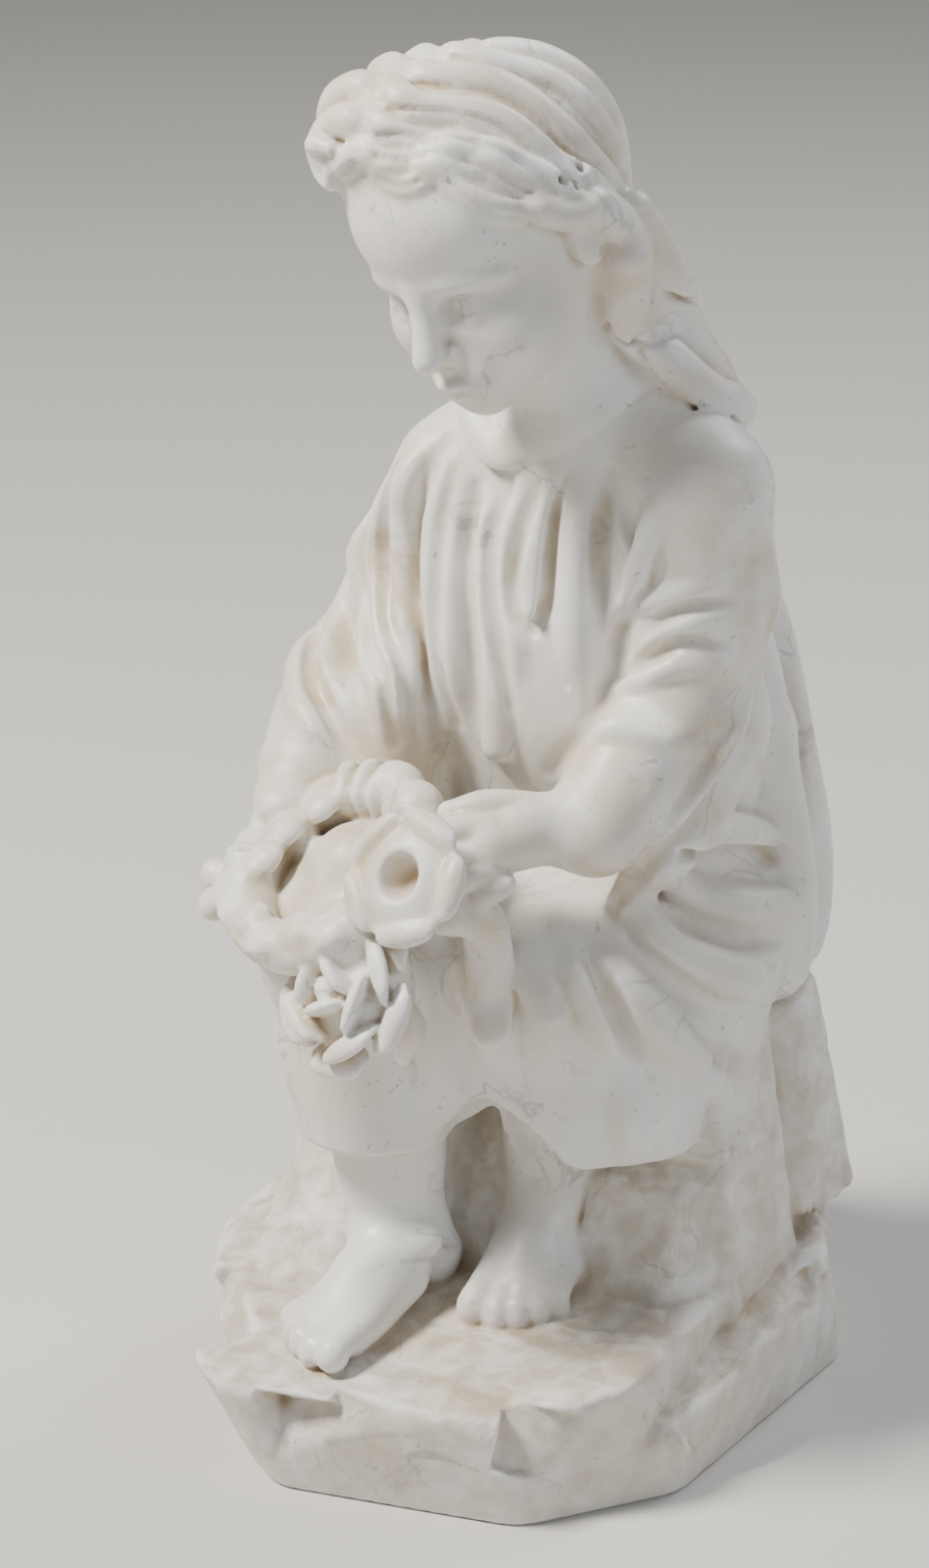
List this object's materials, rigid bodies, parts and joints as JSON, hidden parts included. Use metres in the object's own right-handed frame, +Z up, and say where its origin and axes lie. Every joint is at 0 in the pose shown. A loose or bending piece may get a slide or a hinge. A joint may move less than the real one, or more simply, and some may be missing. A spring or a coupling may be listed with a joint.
{
  "type": "seated girl statue",
  "caption": "Stone statue of a seated barefoot girl in a long gown, head bowed over a flower wreath on her lap, carved with its rock base.",
  "frame": {"origin": "centre of the work's box at the underside of its ground", "axes": "+Z up, the girl faces -Y and her left side is +X"},
  "size_m": [0.3092, 0.4018, 0.7446],
  "materials": {
    "marble": "aged polished white marble with grey veins and a tan patina in the hollows"
  },
  "bodies": {
    "root": {"seated_girl_statue": "marble"}
  },
  "joints": []
}
